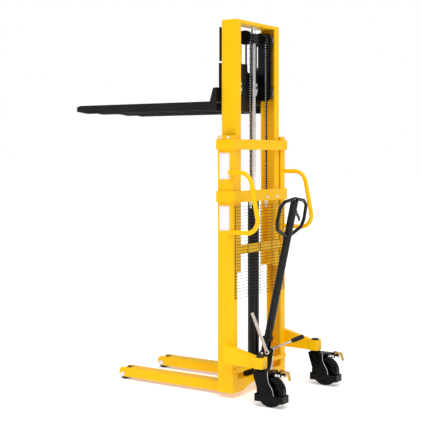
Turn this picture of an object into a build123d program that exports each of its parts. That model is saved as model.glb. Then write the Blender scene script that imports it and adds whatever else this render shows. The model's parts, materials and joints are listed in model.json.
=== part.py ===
from build123d import *
import math
import os

# Walkie stacker: a hand-pumped pallet stacker with a two-stage mast.
# Built about the mast: X is across the truck (+X the operator's right), Y runs forward from the rear
# face of the outer mast, Z is up from the floor. All solids are moved at the end so that the middle
# of the whole truck stands on the origin.

# ---- driving dimensions, mm ----
# outer mast
mast_half = 319.0           # half the outer width
mast_depth = 110.0
mast_foot_z = 32.0
mast_top_z = 1586.0
web_t = 8.0
flange_t = 12.0
flange_w = 57.0             # flange width across X, web included
# inner mast, shown raised
inner_gap = 2.0             # between outer flange tips and inner web
inner_flange_w = 55.0
inner_y0 = 10.6
inner_stand_out = 9.0       # how far the inner mast reaches in front of the outer one
inner_foot_z = 753.0
inner_top_z = 2297.0
top_plate_t = 20.0
# lift
barrel_r = 36.0
barrel_gap = 2.4            # between the inner mast's rear tie and the barrel
barrel_wall = 5.0
barrel_top_z = 1166.0
gland_h = 16.0
rod_r = 15.0
sheave_x = 93.0
sheave_drop = 98.0          # sheave axis below the top of the inner mast
sheave_pitch_r = 38.0
sheave_flange_r = 45.0
chain_w = 14.0
chain_t = 12.0
lift_stroke = 853.0         # rod travel; the carriage travels twice this
# forks and carriage; heights marked "above" are above the top of the forks
fork_x = 215.0
fork_w = 160.0
fork_len = 1096.0           # from the shank's front to the tip
fork_top_z = 1797.0
fork_depth = 56.0
fork_taper = 114.0          # length of the slope under the tip
fork_tip_rise = 19.0        # how far that slope lifts the underside
fork_nose = 50.0            # length of the slope on top of the tip
fork_nose_drop = 13.0
fork_t = 6.0
shank_len = 46.0
shank_above = 86.0
carriage_t = 12.0
carriage_above = 236.0
backrest_above = 460.0
cheek_above = (19.0, 457.0)
roller_above = (69.0, 411.0)
chain_lug_above = 93.0
# legs
leg_x = 211.0
leg_w = 96.0
leg_bottom_z = 18.0
leg_top_z = 80.0
leg_tip_y = 928.0
leg_roller_y = 891.0
leg_roller_r = 37.0
leg_roller_w = 60.0
leg_wall = 6.0
# outriggers and castors
castor_out = 22.0           # kingpin beyond the mast's outer face
kingpin_y = -208.0
castor_trail = 75.0
wheel_r = 90.0
wheel_w = 50.0
crown_gap = 16.0            # from the wheel up to the crown plate
block_height = 65.0
arm_w = 42.0
arm_root_lift = (3.0, 54.0)  # how much higher the arm's root is than its end, below and on top
# grab handles: a straight foot, a slanted grip and a straight foot, as (y, z) corners
grab_r = 14.0
grab_corners = [(18, 1362), (-130, 1362), (-202, 1003), (18, 1003)]
grab_bends = (84, 76)
# wire guard
guard_z = (600.0, 1162.0)
guard_inset = 19.0          # guard's edge inside the mast's outer face
wire = 3.0
row_pitch = 19.0
upright_count = 5
# hydraulic unit, its levers and the tiller
pump_half = 42.0
hand_lever_lean = 24.2      # degrees up from level, rearward
hand_bar_len = 190.0
grip_r = 14.0
grip_len = 84.0
grip_s = 212.0              # the grip's middle, from the lever's pivot
lowering_lever_lean = 24.8  # degrees forward from upright
lowering_lever_x = -112.0
lowering_lever_len = 255.0
eye_r = 14.0                # round the pivots of both levers
pivot_y = -36.0
pivot_z = 236.0
tiller_lean = 12.6          # degrees back from upright
tiller_len = 988.0
tiller_r = 24.0
tiller_wall = 3.0
loop_half = 167.0
loop_r = 11.0
# clearances
run = 0.05                  # radial, shaft in bore
free = 0.3                  # between parts that pass each other

left_right = ((-1, "left"), (1, "right"))


# ---- helpers ----
def block(x0, x1, y0, y1, z0, z1):
    """A box between two corners."""
    return Pos((x0 + x1) / 2, (y0 + y1) / 2, (z0 + z1) / 2) * Box(x1 - x0, y1 - y0, z1 - z0)


def rod_x(r, x0, x1, y, z):
    return Pos((x0 + x1) / 2, y, z) * Rot(0, 90, 0) * Cylinder(r, x1 - x0)


def rod_z(r, z0, z1, x, y):
    return Pos(x, y, (z0 + z1) / 2) * Cylinder(r, z1 - z0)


def rod_y(r, y0, y1, x, z):
    return Pos(x, (y0 + y1) / 2, z) * Rot(90, 0, 0) * Cylinder(r, y1 - y0)


def plate_yz(points, x0, x1):
    """A flat plate across X whose outline is given by (y, z) points."""
    outline = Polyline(*[(y, z) for y, z in points], close=True)
    face = Plane.YZ * make_face(outline)
    return Pos(x0, 0, 0) * extrude(face, x1 - x0, dir=(1, 0, 0))


def plate_xz(points, y0, y1):
    """A flat plate across Y whose outline is given by (x, z) points."""
    face = make_face(Polyline(*[(x, z, 0) for x, z in points], close=True))
    flat = extrude(face, y1 - y0)
    return Pos(0, y1, 0) * Rot(90, 0, 0) * flat


def on_side(solid, side):
    """The solid as built for +X, or its mirror image for -X."""
    return solid if side > 0 else mirror(solid, about=Plane.YZ)


def both(solid):
    return solid + mirror(solid, about=Plane.YZ)


def upright_edges(solid):
    return solid.edges().filter_by(Axis.Z)


def round_edges(solid, radius):
    return fillet(solid.edges().filter_by(GeomType.CIRCLE), radius)


parts = {}

# ---- outer mast ----
flange_in_x = mast_half - flange_w
rail = block(flange_in_x, mast_half, 0, mast_depth, mast_foot_z, mast_top_z)
rail -= block(flange_in_x - 1, mast_half - web_t, flange_t, mast_depth - flange_t, 0, mast_top_z + 1)
rail = fillet(upright_edges(rail).group_by(Axis.X)[-1], 7)
for side, name in left_right:
    parts["mast_rail_" + name] = on_side(rail, side)

band_t = 12.0
upper_bar_z = (mast_top_z - 86, mast_top_z - 23)
lower_bar_z = (1180.0, 1251.0)


def crossbar(z0, z1):
    """A flat bar behind both rails that wraps round their outer sides."""
    out = mast_half + band_t
    bar = block(-out, out, -band_t, mast_depth + 2, z0, z1)
    bar -= block(-mast_half, mast_half, 0, mast_depth + 3, z0 - 1, z1 + 1)
    return fillet(upright_edges(bar).group_by(Axis.Y)[0], 9)


parts["crossbar_upper"] = crossbar(*upper_bar_z)

barrel_y = inner_y0 + barrel_gap + barrel_r
chain_rear_y = barrel_y - sheave_pitch_r
chain_front_y = barrel_y + sheave_pitch_r
lug_half = 18.0
lug_t = 12.0
anchor_r = 6.0
mast_lug_z = lower_bar_z[0]
lug = block(sheave_x - lug_half, sheave_x + lug_half, 0, chain_rear_y + 15, mast_lug_z, mast_lug_z + lug_t)
lug -= rod_z(anchor_r, mast_lug_z - 1, mast_lug_z + lug_t + 1, sheave_x, chain_rear_y)
parts["crossbar_lower"] = crossbar(*lower_bar_z) + both(lug)

# ---- base: two arched plates, a floor plate between them and a rear tie ----
base_top_z = 105.0
floor_z = (68.0, 80.0)
rear_tie_z = (152.0, 176.0)
foot_half = flange_in_x


def arched_plate(y0, y1):
    low, crown = mast_foot_z, floor_z[0]
    outline = Polyline((-foot_half, low), (-foot_half, base_top_z), (foot_half, base_top_z),
                       (foot_half, low), (foot_half - 70, low))
    arch = ThreePointArc((foot_half - 70, low), (0, crown), (70 - foot_half, low))
    close = Line((70 - foot_half, low), (-foot_half, low))
    face = make_face(outline + arch + close)
    return Pos(0, y1, 0) * Rot(90, 0, 0) * extrude(face, y1 - y0)


base = arched_plate(0, flange_t) + arched_plate(mast_depth - flange_t, mast_depth)
base += block(-foot_half, foot_half, flange_t, mast_depth - flange_t, *floor_z)
base += both(block(flange_in_x, mast_half - web_t, flange_t, mast_depth - flange_t, *floor_z))
base += both(block(pump_half, mast_half - 10, -10, 0, *rear_tie_z))
parts["base_frame"] = base

# ---- legs with roller hoods ----
leg_y0 = mast_depth
half_w = leg_w / 2
tip_r = (leg_top_z - leg_bottom_z) / 2
tip_mid_z = (leg_top_z + leg_bottom_z) / 2
leg = block(leg_x - half_w, leg_x + half_w, leg_y0, leg_tip_y - tip_r, leg_bottom_z, leg_top_z)
leg += rod_x(tip_r, leg_x - half_w, leg_x + half_w, leg_tip_y - tip_r, tip_mid_z)
top_edges = leg.edges().filter_by(Axis.Y).group_by(Axis.Z)[-1]
leg = fillet(top_edges, 10)
cheek = 14.0
hood_y0 = leg_roller_y - leg_roller_r - 12
leg -= block(leg_x - half_w + leg_wall, leg_x + half_w - leg_wall, leg_y0 - 1, hood_y0 - 20,
             leg_bottom_z - 1, leg_top_z - leg_wall)
leg -= block(leg_x - half_w + cheek, leg_x + half_w - cheek, hood_y0, leg_tip_y + 1,
             leg_bottom_z - 1, leg_top_z + 1)
leg_axle_r = 10.0
leg -= rod_x(leg_axle_r, leg_x - half_w - 1, leg_x + half_w + 1, leg_roller_y, leg_roller_r)
axle = rod_x(leg_axle_r, leg_x - half_w - 2, leg_x + half_w + 2, leg_roller_y, leg_roller_r)
axle_head_r = 15.0
axle_head_t = 7.0
axle += rod_x(axle_head_r, leg_x + half_w, leg_x + half_w + axle_head_t, leg_roller_y, leg_roller_r)
axle += rod_x(axle_head_r, leg_x - half_w - axle_head_t, leg_x - half_w, leg_roller_y, leg_roller_r)
roller = rod_x(leg_roller_r, leg_x - leg_roller_w / 2, leg_x + leg_roller_w / 2, leg_roller_y, leg_roller_r)
roller = round_edges(roller, 3)
roller -= rod_x(leg_axle_r + run, leg_x - 50, leg_x + 50, leg_roller_y, leg_roller_r)
for side, name in left_right:
    parts["leg_" + name] = on_side(leg, side)
    parts["leg_roller_" + name] = on_side(roller, side)
parts["leg_axles"] = both(axle)

# ---- outriggers with kingpin blocks ----
castor_x = mast_half + castor_out
crown_z0 = 2 * wheel_r + crown_gap
crown_z = (crown_z0, crown_z0 + 9)
block_z0 = crown_z[1] + 10
block_z1 = block_z0 + block_height
block_half = 32.0
arm_x0 = mast_half
arm_x1 = mast_half + arm_w
arm_root_y = 40.0
arm_end_y = kingpin_y + block_half
arm_t = 6.0
king_r = 14.0
root_z0, root_z1 = block_z0 + arm_root_lift[0], block_z1 + arm_root_lift[1]
arm_side = [(arm_root_y, root_z0), (arm_root_y, root_z1), (arm_end_y, block_z1), (arm_end_y, block_z0)]
arm_hole = [(arm_root_y - arm_t, root_z0 + arm_t), (arm_root_y - arm_t, root_z1 - 2 * arm_t),
            (arm_end_y + arm_t, block_z1 - arm_t), (arm_end_y + arm_t, block_z0 + arm_t)]
arm = plate_yz(arm_side, arm_x0, arm_x1) - plate_yz(arm_hole, arm_x0 + arm_t, arm_x1 - arm_t)
king_block = block(castor_x - block_half, castor_x + block_half, kingpin_y - block_half, arm_end_y,
                   block_z0, block_z1)
king_block = fillet(upright_edges(king_block), 10)
arm += king_block
arm -= rod_z(king_r + run, block_z0 - 1, block_z1 + 1, castor_x, kingpin_y)
for side, name in left_right:
    parts["outrigger_" + name] = on_side(arm, side)
cap = rod_z(24, block_z1, block_z1 + 9, castor_x, kingpin_y)
parts["kingpin_caps"] = both(fillet(cap.edges().group_by(Axis.Z)[-1], 3))

# ---- grab handles ----
grab_x = mast_half + grab_r
grab_path = FilletPolyline(*[(grab_x, y, z) for y, z in grab_corners], radius=grab_bends)
grab = sweep(Plane(grab_path @ 0, z_dir=grab_path % 0) * Circle(grab_r), path=grab_path)
for side, name in left_right:
    parts["grab_handle_" + name] = on_side(grab, side)

# ---- wire guard behind the mast ----
guard_half = mast_half - guard_inset
upright_reach = guard_half - 10
upright_gap = 2 * upright_reach / (upright_count - 1)
upright_x = [-upright_reach + step * upright_gap for step in range(upright_count)]
guard = [block(x - wire / 2, x + wire / 2, -wire, 0, *guard_z) for x in upright_x]
rows = int((guard_z[1] - guard_z[0]) / row_pitch)
for row in range(rows + 1):
    z = guard_z[0] + wire / 2 + row * row_pitch
    guard.append(block(-guard_half, guard_half, -2 * wire, -wire, z - wire / 2, z + wire / 2))
parts["mesh_guard"] = guard[0].fuse(*guard[1:])

# ---- lift cylinder ----
gland_in = 28.0
piston_z = (barrel_top_z - 70, barrel_top_z - 40)
bore_floor_z = piston_z[0] - lift_stroke - 25
barrel_z0 = bore_floor_z - 28
bore_r = barrel_r - barrel_wall
barrel = rod_z(barrel_r, barrel_z0, barrel_top_z, 0, barrel_y)
barrel -= rod_z(bore_r, bore_floor_z, barrel_top_z + 1, 0, barrel_y)
parts["cylinder_barrel"] = barrel
gland_top_z = barrel_top_z + gland_h
gland = rod_z(bore_r, barrel_top_z - gland_in, barrel_top_z, 0, barrel_y)
gland += rod_z(barrel_r, barrel_top_z, gland_top_z, 0, barrel_y)
gland -= rod_z(rod_r + run, barrel_top_z - gland_in - 1, gland_top_z + 1, 0, barrel_y)
parts["cylinder_gland"] = gland
sheave_z = inner_top_z - sheave_drop
yoke_half_z = 30.0
rod_top_z = sheave_z - yoke_half_z
rod = rod_z(rod_r, piston_z[1], rod_top_z, 0, barrel_y)
rod += rod_z(bore_r - 0.1, *piston_z, 0, barrel_y)
parts["lift_rod"] = rod

# ---- yoke, sheaves and chains ----
shaft_r = 15.0
groove_half = chain_w / 2 + 1
sheave_half = groove_half + 5
yoke = block(-32, 32, barrel_y - 20, barrel_y + 20, rod_top_z, sheave_z + yoke_half_z)
yoke = fillet(upright_edges(yoke), 6)
yoke += rod_x(shaft_r, -sheave_x - sheave_half - 6, sheave_x + sheave_half + 6, barrel_y, sheave_z)
plate_under_z = inner_top_z - top_plate_t
yoke += rod_z(14, sheave_z + yoke_half_z, plate_under_z - 0.5, 0, barrel_y)
parts["sheave_yoke"] = yoke
chain_in_r = sheave_pitch_r - chain_t / 2
sheave = rod_x(sheave_flange_r, sheave_x - sheave_half, sheave_x + sheave_half, barrel_y, sheave_z)
ring = rod_x(sheave_flange_r + 1, sheave_x - groove_half, sheave_x + groove_half, barrel_y, sheave_z)
ring -= rod_x(chain_in_r - free, sheave_x - groove_half - 1, sheave_x + groove_half + 1, barrel_y, sheave_z)
sheave -= ring
sheave -= rod_x(shaft_r + run, sheave_x - 30, sheave_x + 30, barrel_y, sheave_z)
for side, name in left_right:
    parts["sheave_" + name] = on_side(sheave, side)

link_x = (sheave_x - chain_w / 2, sheave_x + chain_w / 2)
wrap = rod_x(chain_in_r + chain_t, *link_x, barrel_y, sheave_z)
wrap -= rod_x(chain_in_r, link_x[0] - 1, link_x[1] + 1, barrel_y, sheave_z)
wrap -= block(link_x[0] - 1, link_x[1] + 1, barrel_y - 60, barrel_y + 60, sheave_z - 60, sheave_z)
parts["chain_wraps"] = both(wrap)
clevis_h = 22.0
mast_clevis_z = mast_lug_z + lug_t + clevis_h
carriage_lug_z = fork_top_z + chain_lug_above
carriage_clevis_z = carriage_lug_z + lug_t + clevis_h


def strand(y, z0):
    return both(block(*link_x, y - chain_t / 2, y + chain_t / 2, z0, sheave_z))


parts["chain_rear_strands"] = strand(chain_rear_y, mast_clevis_z)
parts["chain_front_strands"] = strand(chain_front_y, carriage_clevis_z)


def chain_anchor(y, lug_z):
    """Clevis above the lug, stud through it and two nuts below."""
    top = lug_z + lug_t
    anchor = block(*link_x, y - chain_t / 2, y + chain_t / 2, top, top + clevis_h)
    anchor += rod_z(anchor_r, lug_z - 42, top, sheave_x, y)
    for nut_z in (lug_z - 10, lug_z - 21):
        nut = extrude(RegularPolygon(10.5, 6), 10)
        anchor += Pos(sheave_x, y, nut_z) * nut
    return both(anchor)


parts["chain_anchors_mast"] = chain_anchor(chain_rear_y, mast_lug_z)
parts["chain_anchors_carriage"] = chain_anchor(chain_front_y, carriage_lug_z)

# ---- inner mast ----
inner_out_x = flange_in_x - inner_gap
inner_in_x = inner_out_x - inner_flange_w
inner_y1 = mast_depth + inner_stand_out
inner_depth = inner_y1 - inner_y0
inner_rail = block(inner_in_x, inner_out_x, inner_y0, inner_y1, inner_foot_z, inner_top_z)
inner_rail -= block(inner_in_x - 1, inner_out_x - web_t, inner_y0 + flange_t, inner_y1 - flange_t,
                    inner_foot_z - 1, inner_top_z + 1)
inner_rail = fillet(upright_edges(inner_rail).group_by(Axis.X)[-1], 6)
for side, name in left_right:
    parts["inner_rail_" + name] = on_side(inner_rail, side)
top_plate = block(-inner_in_x, inner_in_x, inner_y0, inner_y1, plate_under_z, inner_top_z)
web_in_x = inner_out_x - web_t
top_plate += block(-web_in_x, web_in_x, inner_y0 + flange_t, inner_y1 - flange_t, plate_under_z, inner_top_z)
parts["inner_top_plate"] = top_plate
tie_t = 8.0
tie_z = (inner_foot_z + 110, inner_foot_z + 165)
parts["inner_lower_tie"] = block(2 - inner_out_x, inner_out_x - 2, inner_y0 - tie_t, inner_y0, *tie_z)
guide_block = block(barrel_r + free + 1, barrel_r + 44, inner_y0, barrel_y - 4, tie_z[0] + 12, tie_z[1] - 5)
parts["barrel_guides"] = both(guide_block)

# rollers of the inner mast, running in the outer channels
outer_mid_y = mast_depth / 2
mast_roller_r = mast_depth / 2 - flange_t - 0.5
mast_roller_z = inner_foot_z + 58
stub_r = 12.5
mast_stub = rod_x(stub_r, inner_out_x, mast_half - web_t - 2, outer_mid_y, mast_roller_z)
parts["mast_roller_axles"] = both(mast_stub)
mast_roller = rod_x(mast_roller_r, inner_out_x + 4, mast_half - web_t - 6, outer_mid_y, mast_roller_z)
mast_roller = round_edges(mast_roller, 2)
mast_roller -= rod_x(stub_r + run, inner_out_x, mast_half, outer_mid_y, mast_roller_z)
parts["mast_rollers"] = both(mast_roller)

# nylon pads at the head of the outer mast, bearing on the inner webs
pad = block(inner_out_x + free, mast_half - web_t, flange_t + 2, mast_depth - flange_t - 2,
            mast_top_z - 34, mast_top_z - 3)
parts["mast_guide_pads"] = both(pad)


def bolt_x(x, y, z, r=8.0, height=6.0):
    """A hexagon head standing out along +X."""
    return Pos(x, y, z) * Rot(0, 90, 0) * extrude(RegularPolygon(r, 6), height)


head_bolt_y = (30.0, mast_depth - 24)
head_bolt_z = mast_top_z - 14
bolts = both(bolt_x(mast_half, head_bolt_y[0], head_bolt_z) + bolt_x(mast_half, head_bolt_y[1], head_bolt_z))
bar_bolt_x = (65.0, 191.0)
bar_bolt_z = lower_bar_z[0] + 21
for x in bar_bolt_x:
    bolts += Pos(x, -band_t, bar_bolt_z) * Rot(90, 0, 0) * extrude(RegularPolygon(9, 6), 7)
parts["frame_bolts"] = bolts

# ---- carriage ----
plate_y0 = inner_y1 + 6
plate_y1 = plate_y0 + carriage_t
carriage_half = flange_in_x
carriage_top_z = fork_top_z + carriage_above
cheek_gap = 12.0
cheek_set_back = 19.4       # of the cheek's rear edge from the inner mast's rear face
cheek_x = (inner_in_x - cheek_gap - carriage_t, inner_in_x - cheek_gap)
fork_under_z = fork_top_z - fork_depth
centre_half = fork_x - fork_w / 2 + 15
notch_x = (53.0, cheek_x[1] - 5)
notch_depth = 40.0
centre_rise = 13.0
over_leg_z = fork_top_z - 1
outline = [(-carriage_half, over_leg_z), (-centre_half, over_leg_z), (-centre_half, fork_under_z),
           (centre_half, fork_under_z), (centre_half, over_leg_z), (carriage_half, over_leg_z),
           (carriage_half, carriage_top_z), (-carriage_half, carriage_top_z)]
frame_plate = plate_xz(outline, plate_y0, plate_y1)
centre_top_z = carriage_top_z + centre_rise
frame_plate += block(-notch_x[0], notch_x[0], plate_y0, plate_y1, carriage_top_z - 1, centre_top_z)
notch_floor_z = carriage_top_z - notch_depth
notch = block(*notch_x, plate_y0 - 1, plate_y1 + 1, notch_floor_z, carriage_top_z + 60)
notch = fillet(notch.edges().filter_by(Axis.Y).group_by(Axis.Z)[0], 18)
frame_plate -= both(notch)
cheek_z = (fork_top_z + cheek_above[0], fork_top_z + cheek_above[1])
cheek_plate = block(*cheek_x, inner_y0 + cheek_set_back, plate_y0, *cheek_z)
cheek_plate = chamfer(cheek_plate.edges().filter_by(Axis.X).group_by(Axis.Y)[0], 22)
carriage_lug = block(sheave_x - lug_half, sheave_x + lug_half, chain_front_y - 12, plate_y0,
                     carriage_lug_z, carriage_lug_z + lug_t)
carriage_lug -= rod_z(anchor_r, carriage_lug_z - 1, carriage_lug_z + lug_t + 1, sheave_x, chain_front_y)
parts["carriage_frame"] = frame_plate + both(cheek_plate) + both(carriage_lug)

inner_mid_y = (inner_y0 + inner_y1) / 2
carriage_roller_r = inner_depth / 2 - flange_t - 0.5
stubs = None
for above, name in zip(roller_above, ("lower", "upper")):
    roller_z = fork_top_z + above
    stub = both(rod_x(stub_r, cheek_x[1], web_in_x - 4, inner_mid_y, roller_z))
    stubs = stub if stubs is None else stubs + stub
    wheel = rod_x(carriage_roller_r, cheek_x[1] + 5, web_in_x - 8, inner_mid_y, roller_z)
    wheel = round_edges(wheel, 2)
    wheel -= rod_x(stub_r + run, cheek_x[1], web_in_x, inner_mid_y, roller_z)
    parts["carriage_rollers_" + name] = both(wheel)
parts["carriage_axles"] = stubs

# ---- forks: inverted channels with gusseted heels ----
fork_x0 = fork_x - fork_w / 2
fork_x1 = fork_x + fork_w / 2
heel_y = plate_y1 + shank_len
tip_y = heel_y + fork_len
shank_top_z = fork_top_z + shank_above
side_outline = [(plate_y1, fork_under_z), (plate_y1, shank_top_z), (plate_y1 + 22, shank_top_z - 4),
                (heel_y, fork_top_z), (tip_y - fork_nose, fork_top_z), (tip_y, fork_top_z - fork_nose_drop),
                (tip_y, fork_under_z + fork_tip_rise), (tip_y - fork_taper, fork_under_z)]
fork = plate_yz(side_outline, fork_x0, fork_x1)
channel_end_y = tip_y - fork_nose - 5
inner_side = [(plate_y1 - 1, fork_under_z - 1), (plate_y1 - 1, fork_top_z - fork_t),
              (channel_end_y, fork_top_z - fork_t), (channel_end_y, fork_under_z - 1)]
fork -= plate_yz(inner_side, fork_x0 + fork_t, fork_x1 - fork_t)
above = [(plate_y1 + carriage_t, fork_top_z), (plate_y1 + carriage_t, shank_top_z + 1),
         (tip_y + 1, shank_top_z + 1), (tip_y + 1, fork_top_z)]
gusset_t = fork_t + 4
fork -= plate_yz(above, fork_x0 + gusset_t, fork_x1 - gusset_t)
fork = fillet(upright_edges(fork).group_by(Axis.Y)[-1], 34)
for side, name in left_right:
    parts["fork_" + name] = on_side(fork, side)

# ---- load backrest ----
bar_t = 10.0
back_half = carriage_half - 20
back_top_z = fork_top_z + backrest_above
rail_h = 25.0
side_bar_w = 16.0
side_bar_gap = 14.0         # the outer bars stop short of the carriage plate
mid_bar_x = (59.0, 67.0)
back_y = (plate_y1, plate_y1 + bar_t)
back = block(-back_half, back_half, *back_y, back_top_z - rail_h, back_top_z)
side_bar_z = (carriage_top_z + side_bar_gap, back_top_z - rail_h)
back += both(block(back_half - side_bar_w, back_half, *back_y, *side_bar_z))
back += both(block(*mid_bar_x, *back_y, carriage_top_z - 103, back_top_z - rail_h))
parts["backrest"] = back

# ---- hydraulic unit ----
plunger_y = pivot_y - 38
well_z = 127.0
pump_front_y = mast_depth - flange_t - 3
pump_rear_y = plunger_y - 31
pump_floor_z = 62.0
notch_fit = 1.5             # round the rear base plate
pump_outline = [(pump_front_y, floor_z[1]), (pump_front_y, barrel_z0), (pivot_y + 8, barrel_z0),
                (pivot_y + 8, well_z), (pump_rear_y, well_z), (pump_rear_y, pump_floor_z), (-3, pump_floor_z),
                (-3, base_top_z + notch_fit), (flange_t + notch_fit, base_top_z + notch_fit),
                (flange_t + notch_fit, floor_z[1])]
pump = plate_yz(pump_outline, -pump_half, pump_half)
plunger_r = 9.0
plunger_stroke = 40.0
plunger_bottom_z = well_z - 10
pump -= rod_z(plunger_r + run, plunger_bottom_z - plunger_stroke - 3, well_z + 1, 0, plunger_y)
parts["pump_body"] = pump

nose_r = 12.0
nose_z = pivot_z - 7
cap_top_z = nose_z - nose_r - free
cap_t = 8.0
plunger = rod_z(plunger_r, plunger_bottom_z, cap_top_z - cap_t, 0, plunger_y)
plunger += rod_z(23, cap_top_z - cap_t, cap_top_z, 0, plunger_y)
parts["pump_plunger"] = plunger
spring = rod_z(20, well_z, cap_top_z - cap_t, 0, plunger_y)
spring -= rod_z(15, well_z - 1, cap_top_z, 0, plunger_y)
parts["plunger_spring"] = spring

# lugs that carry the tiller pin, and brackets for the two levers
pin_r = 8.0
lug_x = (27.0, 37.0)
lug_side = [(pivot_y + 8, barrel_z0), (2, barrel_z0), (pivot_y + 17, pivot_z + 10), (pivot_y, pivot_z + 18),
            (pivot_y - 17, pivot_z + 4), (pivot_y - 16, pivot_z - 12)]
lugs = both(plate_yz(lug_side, *lug_x))
hand_y, hand_z = pivot_y - 12, pivot_z + 11
low_y, low_z = pivot_y - 81, pivot_z + 26
hand_horn = [(pivot_y + 4, pivot_z - 10), (pivot_y + 4, pivot_z + 17), (hand_y + 4, hand_z + eye_r),
             (hand_y - 12, hand_z + 10), (hand_y - eye_r, hand_z - 6), (pivot_y - 16, pivot_z - 12)]
lugs += plate_yz(hand_horn, *lug_x)
lugs -= rod_x(pin_r, -60, 60, pivot_y, pivot_z)
# the lowering lever's bracket: a foot on the pump's left side and a tapered plate up to the pivot
bracket_x = (-61.0, -53.0)
foot_y = (plunger_y - 28, plunger_y + 14)
foot_z = (86.0, 120.0)
lugs += block(bracket_x[0], -pump_half, *foot_y, *foot_z)
bracket_side = [(foot_y[0], foot_z[1]), (foot_y[1], foot_z[1]), (low_y + 13, low_z + 8),
                (low_y, low_z + eye_r), (low_y - 13, low_z + 8)]
lugs += plate_yz(bracket_side, *bracket_x)
lever_pin_r = 7.0
lever_t = 8.0
pin_over = 3.0              # how far each pin stands out past what it carries
hand_x = (lug_x[1] + 6, lug_x[1] + 18)
low_x = (lowering_lever_x - lever_t / 2, lowering_lever_x + lever_t / 2)
lugs += rod_x(lever_pin_r, lug_x[1], hand_x[1] + pin_over, hand_y, hand_z)
lugs += rod_x(lever_pin_r, low_x[0] - pin_over, bracket_x[0], low_y, low_z)
parts["pump_lugs"] = lugs
ear_x = (lug_x[0] - 11, lug_x[0] - 1)
parts["tiller_pin"] = rod_x(pin_r, -lug_x[1] - pin_over, lug_x[1] + pin_over, pivot_y, pivot_z)

# ---- tiller: boss, nose, splayed fork, tube and loop ----
lean = math.radians(tiller_lean)


def along_tiller(x, s, out=0.0):
    """The point a distance s up the tiller from its pivot, x across, out in front of its plane."""
    y = pivot_y - s * math.sin(lean) + out * math.cos(lean)
    z = pivot_z + s * math.cos(lean) + out * math.sin(lean)
    return (x, y, z)


tiller_frame = Pos(0, pivot_y, pivot_z) * Rot(tiller_lean, 0, 0)
boss_r = 16.0
nose_half = 14.0
boss = rod_x(boss_r, -ear_x[1], ear_x[1], pivot_y, pivot_z)
boss += rod_x(nose_r, -nose_half, nose_half, plunger_y, nose_z)
nose_web = [(pivot_y, pivot_z + 10), (plunger_y, nose_z + nose_r - 1), (plunger_y, nose_z - nose_r + 4),
            (pivot_y, pivot_z - 12)]
boss += plate_yz(nose_web, -nose_half, nose_half)
# heights up the tiller: ears swell at ear_waist_s, the head is a block and the tube stands on it
ear_waist_s = 60.0
head_s = (80.0, 104.0)
head_half = 24.0
ear_half = 17.0
ear = plate_yz([(-ear_half, -12), (ear_half, -12), (ear_half, ear_waist_s), (head_half, head_s[0] + 16),
                (-head_half, head_s[0] + 16), (-ear_half, ear_waist_s)], *ear_x)
arm = boss + tiller_frame * both(ear)
arm += tiller_frame * block(-ear_x[1], ear_x[1], -head_half, head_half, *head_s)
arm += tiller_frame * block(-ear_x[0] - 1, ear_x[0] + 1, -9, 9, 10, head_s[0] + 2)
arm -= rod_x(pin_r + run, -60, 60, pivot_y, pivot_z)
tube_len = tiller_len - head_s[1] - loop_r
tube = Cylinder(tiller_r, tube_len) - Cylinder(tiller_r - tiller_wall, tube_len + 2)
arm += tiller_frame * Pos(0, 0, head_s[1] + tube_len / 2) * tube
loop_foot = 247.0           # from the loop's lowest point to its top
right_half = [(loop_half - 20, 188), (loop_half, 138), (loop_half - 8, 46), (loop_half - 50, 16)]
loop_points = [(0, loop_foot), *right_half, (0, 0), *[(-x, down) for x, down in reversed(right_half)]]
loop_path = FilletPolyline(*[(x, 0, tiller_len - down) for x, down in loop_points], radius=28, close=True)
loop = sweep(Plane(loop_path @ 0, z_dir=loop_path % 0) * Circle(loop_r), path=loop_path)
loop = tiller_frame * loop
tube_space = Pos(0, 0, tiller_len - loop_foot) * Cylinder(tiller_r, 2 * loop_foot)
parts["tiller_loop"] = loop - tiller_frame * tube_space

trigger_s = tiller_len - 83
trigger_x = 34.0
trigger_r = 5.0
trigger = Pos(trigger_x, 0, trigger_s) * Rot(90, 0, 0) * Cylinder(9, 12)
finger_outline = [(-4, -7), (5, 7), (62, -34), (80, -60), (72, -64), (54, -44)]
finger = plate_xz([(trigger_x + x, trigger_s + z) for x, z in finger_outline], -6, 6)
trigger = (trigger + finger) - Pos(trigger_x, 0, trigger_s) * Rot(90, 0, 0) * Cylinder(trigger_r + run, 30)
parts["release_lever"] = tiller_frame * trigger
trigger_ears = block(tiller_r - 3, trigger_x + 8, -13, 13, trigger_s - 9, trigger_s + 9)
trigger_ears -= block(tiller_r - 4, trigger_x + 9, -7, 7, trigger_s - 10, trigger_s + 10)
trigger_ears += Pos(trigger_x, 0, trigger_s) * Rot(90, 0, 0) * Cylinder(trigger_r, 26)
trigger_ears -= Pos(0, 0, trigger_s) * Cylinder(tiller_r - 1, 40)
parts["tiller_arm"] = arm + tiller_frame * trigger_ears

# ---- the two levers by the pump ----
hand_frame = Pos(0, hand_y, hand_z) * Rot(-hand_lever_lean, 0, 0)
hand_bar = hand_frame * block(hand_x[0], hand_x[1], -hand_bar_len, 4, -6, 6)
hand_bar += rod_x(eye_r, *hand_x, hand_y, hand_z)
hand_bar -= rod_x(lever_pin_r + run, hand_x[0] - 1, hand_x[1] + 1, hand_y, hand_z)
parts["hand_lever"] = hand_bar
grip_mid = (hand_x[0] + hand_x[1]) / 2
grip = hand_frame * Pos(grip_mid, -grip_s, 0) * Rot(90, 0, 0) * Cylinder(grip_r, grip_len)
grip = round_edges(grip, 4)
parts["hand_lever_grip"] = grip - parts["hand_lever"]
low_frame = Pos(0, low_y, low_z) * Rot(-lowering_lever_lean, 0, 0)
low_bar = low_frame * block(*low_x, -9, 9, -4, lowering_lever_len)
low_bar += rod_x(eye_r, *low_x, low_y, low_z)
low_bar -= rod_x(lever_pin_r + run, low_x[0] - 1, low_x[1] + 1, low_y, low_z)
parts["lowering_lever"] = low_bar

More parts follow.
